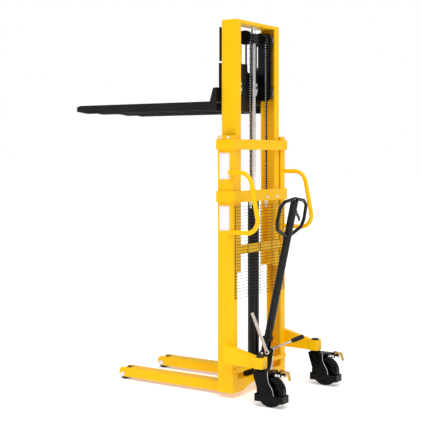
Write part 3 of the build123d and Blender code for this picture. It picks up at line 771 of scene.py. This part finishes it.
class STACKER_OT_levers(StackerOperator, bpy.types.Operator):
    """The hand lever with its grip, and the lowering lever"""
    bl_idname = "stacker.levers"
    bl_label = "Levers"

    def execute(self, context):
        edge = context.scene.stacker_edges
        soften("zinc", edge.machined, "hand_lever")
        soften("rubber", edge.machined, "hand_lever_grip")
        soften("zinc", edge.machined, "lowering_lever")
        return {"FINISHED"}


def castor_lip(side, hub, crown):
    """The side plates' rear edges, turned out into a rounded lip from the crown to the axle, whose pale steel
    paints a highlight along them.
    """
    low, high = corners("castor_fork_" + side)
    reach = (high.x - low.x) / 2 - 4 * MM
    line = ((4 * MM, crown - hub.z), (3 * MM, 85 * MM), (-MM, 62 * MM), (-16 * MM, 36 * MM),
            (-34 * MM, 12 * MM), (-36 * MM, -22 * MM))
    paths = ([(hub.x + x, hub.y + y, hub.z + z) for y, z in line] for x in (-reach, reach))
    lips = [tube("lip", path, 1.5 * MM) for path in paths]
    # the lip wears the pale steel, a painted highlight
    added(fused("castor_lip_" + side, lips), "lip", "castor_" + side)


def brake_cheeks(side, hub, crown, bolt, tree):
    """A cheek each side that carries the brake's pin, with two bright bolts."""
    inner, outer = 24.2 * MM, 27 * MM
    cheeks, places, facing = [], [], []
    for way in (-1, 1):
        x0, x1 = sorted((hub.x + way * inner, hub.x + way * outer))
        cheeks.append(slab((x0, hub.y - 80 * MM, crown - 24 * MM), (x1, hub.y - 40 * MM, crown - MM)))
        for along in (-49, -66):
            places.append((hub.x + way * outer, hub.y + along * MM, crown - 14 * MM))
            facing.append((way, 0, 0))
    added(from_bmesh("brake_cheeks_" + side, joined(*cheeks)), "enamel", "castor_" + side)
    name = "castor_bolts_" + side
    heads = repeated(name, tree, points_object(name, places, facing), {
        "Template": bolt, "Size": 0.75, "Finish": FINISH["zinc"]})
    added(heads, "zinc", "castor_" + side)


def brake_hook(side, hub):
    """A wire hook under the brake pedal."""
    low, high = corners("castor_brake_" + side)
    bend_r = 11 * MM
    y, z = (low.y + high.y) / 2, high.z - 20 * MM
    turns = [math.pi * (0.35 + step / 6) for step in range(9)]
    ring = [(hub.x, y + bend_r * math.cos(t), z + bend_r * math.sin(t)) for t in turns]
    added(tube("brake_hook_" + side, ring, 2.4 * MM), "passivate", "brake_" + side)


def wheel_ribs(side, hub, rib, tree):
    """Five ribs that stiffen each face of the wheel."""
    count = 5
    turns = [2 * math.pi * (step + 0.15) / count for step in range(count)]
    name = "wheel_spokes_" + side
    carrier = points_object(name, [tuple(hub)] * count, [(0, math.cos(t), math.sin(t)) for t in turns])
    ribs = repeated(name, tree, carrier, {"Template": rib, "Size": 1.0, "Finish": FINISH["enamel"]})
    added(ribs, "enamel", "wheel_" + side)


class STACKER_OT_castors(StackerOperator, bpy.types.Operator):
    """Swivel castors with ribbed wheels, guard hoops and brake levers"""
    bl_idname = "stacker.castors"
    bl_label = "Castors"

    def execute(self, context):
        edge = context.scene.stacker_edges
        bolt, rib = bolt_shape(), rib_shape()
        bolts, ribs = template_tree("castor_bolts"), template_tree("wheel_spokes")
        for side in SIDES:
            # the castors' forks, wheels, cheeks and ribs wear the darker black, which is painted shade
            soften("enamel", edge.machined, "castor_fork_" + side)
            soften("passivate", edge.machined, "castor_brake_" + side)
            soften("enamel", edge.machined, "castor_wheel_" + side)
            hub = middle("castor_wheel_" + side)
            crown = corners("castor_brake_" + side)[1].z - 8 * MM
            castor_lip(side, hub, crown)
            brake_cheeks(side, hub, crown, bolt, bolts)
            brake_hook(side, hub)
            wheel_ribs(side, hub, rib, ribs)
        bpy.data.objects.remove(bolt)
        bpy.data.objects.remove(rib)
        return {"FINISHED"}


# ---------------------------------------------------------------- repeated pieces

def link_plate(pitch, half_height, x0, x1):
    """One waisted chain plate between x0 and x1, from pin to pin along Z."""
    outline = []
    for end in (1, -1):
        for step in range(5):
            turn = math.pi * step / 4 - (0 if end > 0 else math.pi)
            outline.append((half_height * math.cos(turn), end * pitch / 2 + half_height * math.sin(turn)))
    waist = half_height * 0.72
    outline.insert(5, (-waist, 0.0))
    outline.append((waist, 0.0))
    near, far = ([(x, y, z) for y, z in outline] for x in (x1, x0))
    return prism(near, far)


def chain_link(chain, outer):
    """The two plates of one link, centred between its pins, which lie along X."""
    far = chain.width / 2 - (1.3 * MM if outer else 3.0 * MM)
    near = far - 1.5 * MM
    plates = (link_plate(chain.pitch, chain.plate, x0, x1) for x0, x1 in ((near, far), (-far, -near)))
    return from_bmesh("outer_link" if outer else "inner_link", joined(*plates))


def chain_pin(chain, outer):
    """A pin with riveted heads and its roller, at one end of a link."""
    half = chain.width / 2
    inside = half - 4.5 * MM
    under_head = half - 1.2 * MM
    shank = 1.8 * MM
    rising = [(shank, inside), (shank, under_head), (chain.pin, under_head), (chain.pin, half), (0, half)]
    falling = [(radius, -along) for radius, along in reversed(rising)]
    profile = falling + [(chain.roller, -inside), (chain.roller, inside)] + rising
    return from_bmesh("outer_pin" if outer else "inner_pin", turned(profile, 6, "X", (0, 0, chain.pitch / 2)))


def chain_tree():
    """Links set along a path: inner and outer links take turns, each turned to the path."""
    tree, given = geometry_tree("links_along_path", [
        ("Pitch", "NodeSocketFloat", 0.015875), ("Inner link", "NodeSocketObject", None),
        ("Outer link", "NodeSocketObject", None), ("Finish", "NodeSocketMaterial", None)])
    spaced = add(tree, "GeometryNodeResampleCurve", {"Curve": given["Geometry"], "Length": given["Pitch"]},
                 mode="LENGTH")
    tangent = add(tree, "GeometryNodeInputTangent")
    turn = add(tree, "FunctionNodeAlignRotationToVector", {"Vector": tangent.outputs["Tangent"]}, axis="Z",
               pivot_axis="X")
    # every point takes one link, centred on it
    shapes = []
    for label in ("Inner link", "Outer link"):
        info = add(tree, "GeometryNodeObjectInfo", {"Object": given[label], "As Instance": True})
        shapes.append(info.outputs["Geometry"])
    index = add(tree, "GeometryNodeInputIndex")
    parity = add(tree, "FunctionNodeIntegerMath", {0: index.outputs["Index"], 1: 2}, operation="MODULO")
    both = add(tree, "GeometryNodeGeometryToInstance")
    for shape in reversed(shapes):
        tree.links.new(shape, both.inputs["Geometry"])
    placed = add(tree, "GeometryNodeInstanceOnPoints", {
        "Points": spaced.outputs["Curve"], "Instance": both.outputs["Instances"], "Pick Instance": True,
        "Instance Index": parity.outputs["Value"], "Rotation": turn.outputs["Rotation"]})
    close_tree(tree, placed.outputs["Instances"], given["Finish"])
    return tree


def chain_along(name, tree, runs, inputs):
    """The tree's links laid along straight-sided splines, one for each run of points."""
    curve = bpy.data.curves.new(name, "CURVE")
    curve.dimensions = "3D"
    for run in runs:
        spline = curve.splines.new("POLY")
        spline.points.add(len(run) - 1)
        for at, point in enumerate(run):
            spline.points[at].co = (*point, 1.0)
    return repeated(name, tree, link_object(name, curve), inputs)


class STACKER_OT_chains(StackerOperator, bpy.types.Operator):
    """Roller chains: rear strands, wraps over the sheaves and front strands"""
    bl_idname = "stacker.chains"
    bl_label = "Lifting chains"

    def execute(self, context):
        chain = context.scene.stacker_chain
        rear_low, rear_high = corners("chain_rear_strands")
        front_low, front_high = corners("chain_front_strands")
        rear_y, front_y = (rear_low.y + rear_high.y) / 2, (front_low.y + front_high.y) / 2
        sheave = middle("sheave_right")
        across = (-sheave.x, sheave.x)
        pitch_r = front_y - sheave.y
        half = chain.pitch / 2
        rear_runs, front_runs = (
            [[(x, y, foot + half), (x, y, sheave.z - half)] for x in across]
            for y, foot in ((rear_y, rear_low.z), (front_y, front_low.z)))
        steps = 24
        turns = [math.pi * step / steps for step in range(steps + 1)]
        arcs = [[(x, sheave.y - pitch_r * math.cos(t), sheave.z + pitch_r * math.sin(t)) for t in turns]
                for x in across]
        # the lowered strand ends a little under the wrapped one, so that their plates don't cross
        tree = chain_tree()
        for what, shape, finish in (("links", chain_link, "chain"), ("pins", chain_pin, "pin")):
            inner, outer = shape(chain, False), shape(chain, True)
            inputs = {"Pitch": chain.pitch, "Inner link": inner, "Outer link": outer,
                      "Finish": FINISH[finish]}
            rear = chain_along("rear_chain_" + what, tree, rear_runs, inputs)
            stand_for(rear, finish, "chain_rear_strands")
            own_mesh(rear)
            front = chain_along("front_chain_" + what, tree, front_runs, inputs)
            wear(front, finish)
            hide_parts("chain_front_strands")
            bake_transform(front)
            stand_for(chain_along("wrapped_chain_" + what, tree, arcs, inputs), finish, "chain_wraps")
            bpy.data.objects.remove(inner)
            bpy.data.objects.remove(outer)
        return {"FINISHED"}


def guard_tree():
    """Level wires and upright wires, each a round bar repeated at its pitch."""
    tree, given = geometry_tree("wire_guard", [
        ("Low corner", "NodeSocketVector", None), ("Size", "NodeSocketVector", None),
        ("Wire", "NodeSocketFloat", 0.0014), ("Row pitch", "NodeSocketFloat", 0.019),
        ("Rows", "NodeSocketInt", 29), ("Uprights", "NodeSocketInt", 5), ("Inset", "NodeSocketFloat", 0.01),
        ("Finish", "NodeSocketMaterial", None)])
    size = add(tree, "ShaderNodeSeparateXYZ", {"Vector": given["Size"]})
    section = add(tree, "GeometryNodeCurvePrimitiveCircle", {"Resolution": 8, "Radius": given["Wire"]})

    def bar(end):
        line = add(tree, "GeometryNodeCurvePrimitiveLine", {"End": end})
        return add(tree, "GeometryNodeCurveToMesh", {
            "Curve": line.outputs["Curve"], "Profile Curve": section.outputs["Curve"], "Fill Caps": True})

    across = add(tree, "ShaderNodeCombineXYZ", {"X": size.outputs["X"]})
    upward = add(tree, "ShaderNodeCombineXYZ", {"Z": size.outputs["Z"]})
    step_up = add(tree, "ShaderNodeCombineXYZ", {"Z": given["Row pitch"]})
    inner = add(tree, "ShaderNodeMath", {0: given["Inset"], 1: 2.0}, operation="MULTIPLY")
    clear = add(tree, "ShaderNodeMath", {0: size.outputs["X"], 1: inner.outputs["Value"]},
                operation="SUBTRACT")
    gaps = add(tree, "ShaderNodeMath", {0: given["Uprights"], 1: 1.0}, operation="SUBTRACT")
    gap = add(tree, "ShaderNodeMath", {0: clear.outputs["Value"], 1: gaps.outputs["Value"]},
              operation="DIVIDE")
    step_across = add(tree, "ShaderNodeCombineXYZ", {"X": gap.outputs["Value"]})
    set_in = add(tree, "ShaderNodeCombineXYZ", {"X": given["Inset"]})
    deep = add(tree, "ShaderNodeMath", {0: given["Wire"], 1: 2.0}, operation="MULTIPLY")
    behind = add(tree, "ShaderNodeCombineXYZ", {"Y": deep.outputs["Value"]})
    rows = add(tree, "GeometryNodeMeshLine", {"Count": given["Rows"], "Offset": step_up.outputs["Vector"]})
    level = add(tree, "GeometryNodeInstanceOnPoints", {
        "Points": rows.outputs["Mesh"], "Instance": bar(across.outputs["Vector"]).outputs["Mesh"]})
    columns = add(tree, "GeometryNodeMeshLine", {
        "Count": given["Uprights"], "Offset": step_across.outputs["Vector"],
        "Start Location": set_in.outputs["Vector"]})
    upright = add(tree, "GeometryNodeInstanceOnPoints", {
        "Points": columns.outputs["Mesh"], "Instance": bar(upward.outputs["Vector"]).outputs["Mesh"]})
    upright = add(tree, "GeometryNodeTransform", {
        "Geometry": upright.outputs["Instances"], "Translation": behind.outputs["Vector"]})
    whole = add(tree, "GeometryNodeJoinGeometry")
    tree.links.new(level.outputs["Instances"], whole.inputs["Geometry"])
    tree.links.new(upright.outputs["Geometry"], whole.inputs["Geometry"])
    moved = add(tree, "GeometryNodeTransform", {
        "Geometry": whole.outputs["Geometry"], "Translation": given["Low corner"]})
    close_tree(tree, moved.outputs["Geometry"], given["Finish"])
    return tree


class STACKER_OT_guard(StackerOperator, bpy.types.Operator):
    """Welded wire guard behind the mast"""
    bl_idname = "stacker.guard"
    bl_label = "Wire guard"

    def execute(self, context):
        guard = context.scene.stacker_guard
        low, high = corners("mesh_guard")
        size = high - low
        rows = int(size.z / guard.pitch) + 1
        carrier = points_object("mesh_wires", [(0, 0, 0)], [(0, 0, 1)])
        piece = repeated("mesh_wires", guard_tree(), carrier, {
            "Low corner": (low.x, low.y + guard.wire, low.z + guard.wire), "Size": (size.x, 0.0, size.z),
            "Wire": guard.wire, "Row pitch": guard.pitch, "Rows": rows, "Uprights": guard.uprights,
            "Inset": 10 * MM, "Finish": FINISH["black"]})
        stand_for(piece, "black", "mesh_guard")
        return {"FINISHED"}


def spring_tree():
    """A coil spring of round wire."""
    tree, given = geometry_tree("coil_spring", [
        ("Foot", "NodeSocketVector", None), ("Height", "NodeSocketFloat", 0.08),
        ("Radius", "NodeSocketFloat", 0.017), ("Wire", "NodeSocketFloat", 0.0026),
        ("Turns", "NodeSocketFloat", 7.0), ("Finish", "NodeSocketMaterial", None)])
    coil = add(tree, "GeometryNodeCurveSpiral", {
        "Resolution": 28, "Rotations": given["Turns"], "Start Radius": given["Radius"],
        "End Radius": given["Radius"], "Height": given["Height"]})
    section = add(tree, "GeometryNodeCurvePrimitiveCircle", {"Resolution": 10, "Radius": given["Wire"]})
    wire = add(tree, "GeometryNodeCurveToMesh", {
        "Curve": coil.outputs["Curve"], "Profile Curve": section.outputs["Curve"], "Fill Caps": True})
    moved = add(tree, "GeometryNodeTransform", {
        "Geometry": wire.outputs["Mesh"], "Translation": given["Foot"]})
    close_tree(tree, moved.outputs["Geometry"], given["Finish"])
    return tree


class STACKER_OT_spring(StackerOperator, bpy.types.Operator):
    """The plunger's return spring"""
    bl_idname = "stacker.spring"
    bl_label = "Plunger spring"

    def execute(self, context):
        low, high = corners("plunger_spring")
        at = (low + high) / 2
        wire = 2.6 * MM
        carrier = points_object("return_spring", [(0, 0, 0)], [(0, 0, 1)])
        piece = repeated("return_spring", spring_tree(), carrier, {
            "Foot": (at.x, at.y, low.z + wire), "Height": high.z - low.z - 2 * wire,
            "Radius": (high.x - low.x) / 2 - wire, "Wire": wire, "Turns": 7.0, "Finish": FINISH["chrome"]})
        stand_for(piece, "chrome", "plunger_spring")
        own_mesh(piece)
        return {"FINISHED"}


def bolt_shape():
    """An M10 hexagon bolt head on its washer, facing +Z."""
    washer_r, washer_t = 10 * MM, 1.4 * MM
    head_r, bevel, height = 8.8 * MM, MM, 7.2 * MM
    washer = turned([(0, 0), (washer_r, 0), (washer_r, washer_t), (0, washer_t)], 24, "Z")
    head = turned([(0, washer_t), (head_r, washer_t), (head_r, height - bevel), (head_r - bevel, height),
                   (0, height)], 6, "Z")
    return from_bmesh("bolt_shape", joined(washer, head))


def rib_shape():
    """A pair of tapered ribs, one for each face of a castor wheel, reaching out along +Z."""
    faces = ((0, 1, 3, 2), (4, 6, 7, 5), (0, 4, 5, 1), (2, 3, 7, 6), (0, 2, 6, 4), (1, 5, 7, 3))
    ribs = []
    for way in (-1, 1):
        made = bmesh.new()
        ends = [made.verts.new((way * x, y, z)) for z, half in ((24 * MM, 9 * MM), (68 * MM, 5 * MM))
                for x in (8 * MM, 21 * MM) for y in (-half, half)]
        for face in faces:
            made.faces.new([ends[at] for at in face])
        bmesh.ops.recalc_face_normals(made, faces=made.faces)
        bmesh.ops.bevel(made, geom=list(made.edges), offset=1.2 * MM, segments=2, affect="EDGES")
        ribs.append(made)
    return from_bmesh("rib_shape", joined(*ribs))


def template_tree(name):
    """One template on each point, turned to the direction the point faces."""
    tree, given = geometry_tree(name, [
        ("Template", "NodeSocketObject", None), ("Size", "NodeSocketFloat", 1.0),
        ("Finish", "NodeSocketMaterial", None)])
    facing = add(tree, "GeometryNodeInputNamedAttribute", {"Name": "facing"}, data_type="FLOAT_VECTOR")
    turn = add(tree, "FunctionNodeAlignRotationToVector", {"Vector": facing.outputs["Attribute"]}, axis="Z")
    info = add(tree, "GeometryNodeObjectInfo", {"Object": given["Template"], "As Instance": True})
    placed = add(tree, "GeometryNodeInstanceOnPoints", {
        "Points": given["Geometry"], "Instance": info.outputs["Geometry"],
        "Rotation": turn.outputs["Rotation"], "Scale": given["Size"]})
    close_tree(tree, placed.outputs["Instances"], given["Finish"])
    return tree


class STACKER_OT_fasteners(StackerOperator, bpy.types.Operator):
    """Hexagon bolts of the mast head and the lower crossbar"""
    bl_idname = "stacker.fasteners"
    bl_label = "Fasteners"

    def execute(self, context):
        rail_low, rail_high = corners("mast_rail_right")
        bar_low = corners("crossbar_lower")[0]
        places, facing = [], []
        for side in (-1, 1):
            for back in (30 * MM, 86 * MM):
                places.append((side * rail_high.x, rail_low.y + back, rail_high.z - 14 * MM))
                facing.append((side, 0, 0))
        for x in (65 * MM, 191 * MM):
            places.append((x, bar_low.y, bar_low.z + 21 * MM))
            facing.append((0, -1, 0))
        bolt = bolt_shape()
        name = "frame_bolt_heads"
        heads = repeated(name, template_tree("frame_bolts"), points_object(name, places, facing), {
            "Template": bolt, "Size": 1.0, "Finish": FINISH["zinc"]})
        stand_for(heads, "zinc", "frame_bolts")
        bpy.data.objects.remove(bolt)
        return {"FINISHED"}


class STACKER_OT_stickers(StackerOperator, bpy.types.Operator):
    """Two blank vinyl stickers on the left rail"""
    bl_idname = "stacker.stickers"
    bl_label = "Stickers"

    def execute(self, context):
        rail = corners("mast_rail_left")[0]
        y0, y1 = rail.y + 22 * MM, rail.y + 94 * MM
        film_x, ink_x, front_x = rail.x - 0.1 * MM, rail.x - 0.4 * MM, rail.x - 0.6 * MM
        inset, line = 4 * MM, 1.2 * MM
        for name, z0, z1 in (("upper", 1.322, 1.480), ("lower", 1.011, 1.160)):
            sticker = from_bmesh("sticker_" + name, slab((ink_x, y0, z0), (film_x, y1, z1)))
            added(sticker, "white", "chassis")
            left, right, foot, head = y0 + inset, y1 - inset, z0 + inset, z1 - inset
            lines = [slab((front_x, a, c), (ink_x, b, d)) for a, b, c, d in (
                (left, right, foot, foot + line), (left, right, head - line, head),
                (left, left + line, foot, head), (right - line, right, foot, head))]
            added(from_bmesh("sticker_border_" + name, joined(*lines)), "grey", "chassis")
        return {"FINISHED"}


OPERATORS = (
    STACKER_OT_stage, STACKER_OT_mast, STACKER_OT_legs, STACKER_OT_outriggers, STACKER_OT_inner_mast,
    STACKER_OT_lift, STACKER_OT_carriage, STACKER_OT_pump, STACKER_OT_tiller, STACKER_OT_levers,
    STACKER_OT_castors, STACKER_OT_chains, STACKER_OT_guard, STACKER_OT_spring, STACKER_OT_fasteners,
    STACKER_OT_stickers)
SETTINGS = (
    (PaintSettings, "stacker_paint"), (EdgeSettings, "stacker_edges"), (ChainSettings, "stacker_chain"),
    (GuardSettings, "stacker_guard"), (StageSettings, "stacker_stage"))


class STACKER_PT_panel(bpy.types.Panel):
    """The stacker's sizes, colours and pieces"""
    bl_idname = "STACKER_PT_panel"
    bl_label = "Walkie stacker"
    bl_space_type = "VIEW_3D"
    bl_region_type = "UI"
    bl_category = "Stacker"

    def draw(self, context):
        for group, attribute in SETTINGS:
            box = self.layout.box()
            for field in group.__annotations__:
                box.prop(getattr(context.scene, attribute), field)
        for operator in OPERATORS:
            self.layout.operator(operator.bl_idname)


def register():
    for group, attribute in SETTINGS:
        bpy.utils.register_class(group)
        setattr(bpy.types.Scene, attribute, bpy.props.PointerProperty(type=group))
    for operator in OPERATORS:
        bpy.utils.register_class(operator)
    bpy.utils.register_class(STACKER_PT_panel)


def unregister():
    bpy.utils.unregister_class(STACKER_PT_panel)
    for operator in reversed(OPERATORS):
        bpy.utils.unregister_class(operator)
    for group, attribute in reversed(SETTINGS):
        delattr(bpy.types.Scene, attribute)
        bpy.utils.unregister_class(group)


def main():
    register()
    make_finishes()
    for operator in OPERATORS:
        family, action = operator.bl_idname.split(".")
        getattr(getattr(bpy.ops, family), action)()


if __name__ == "__main__":
    main()
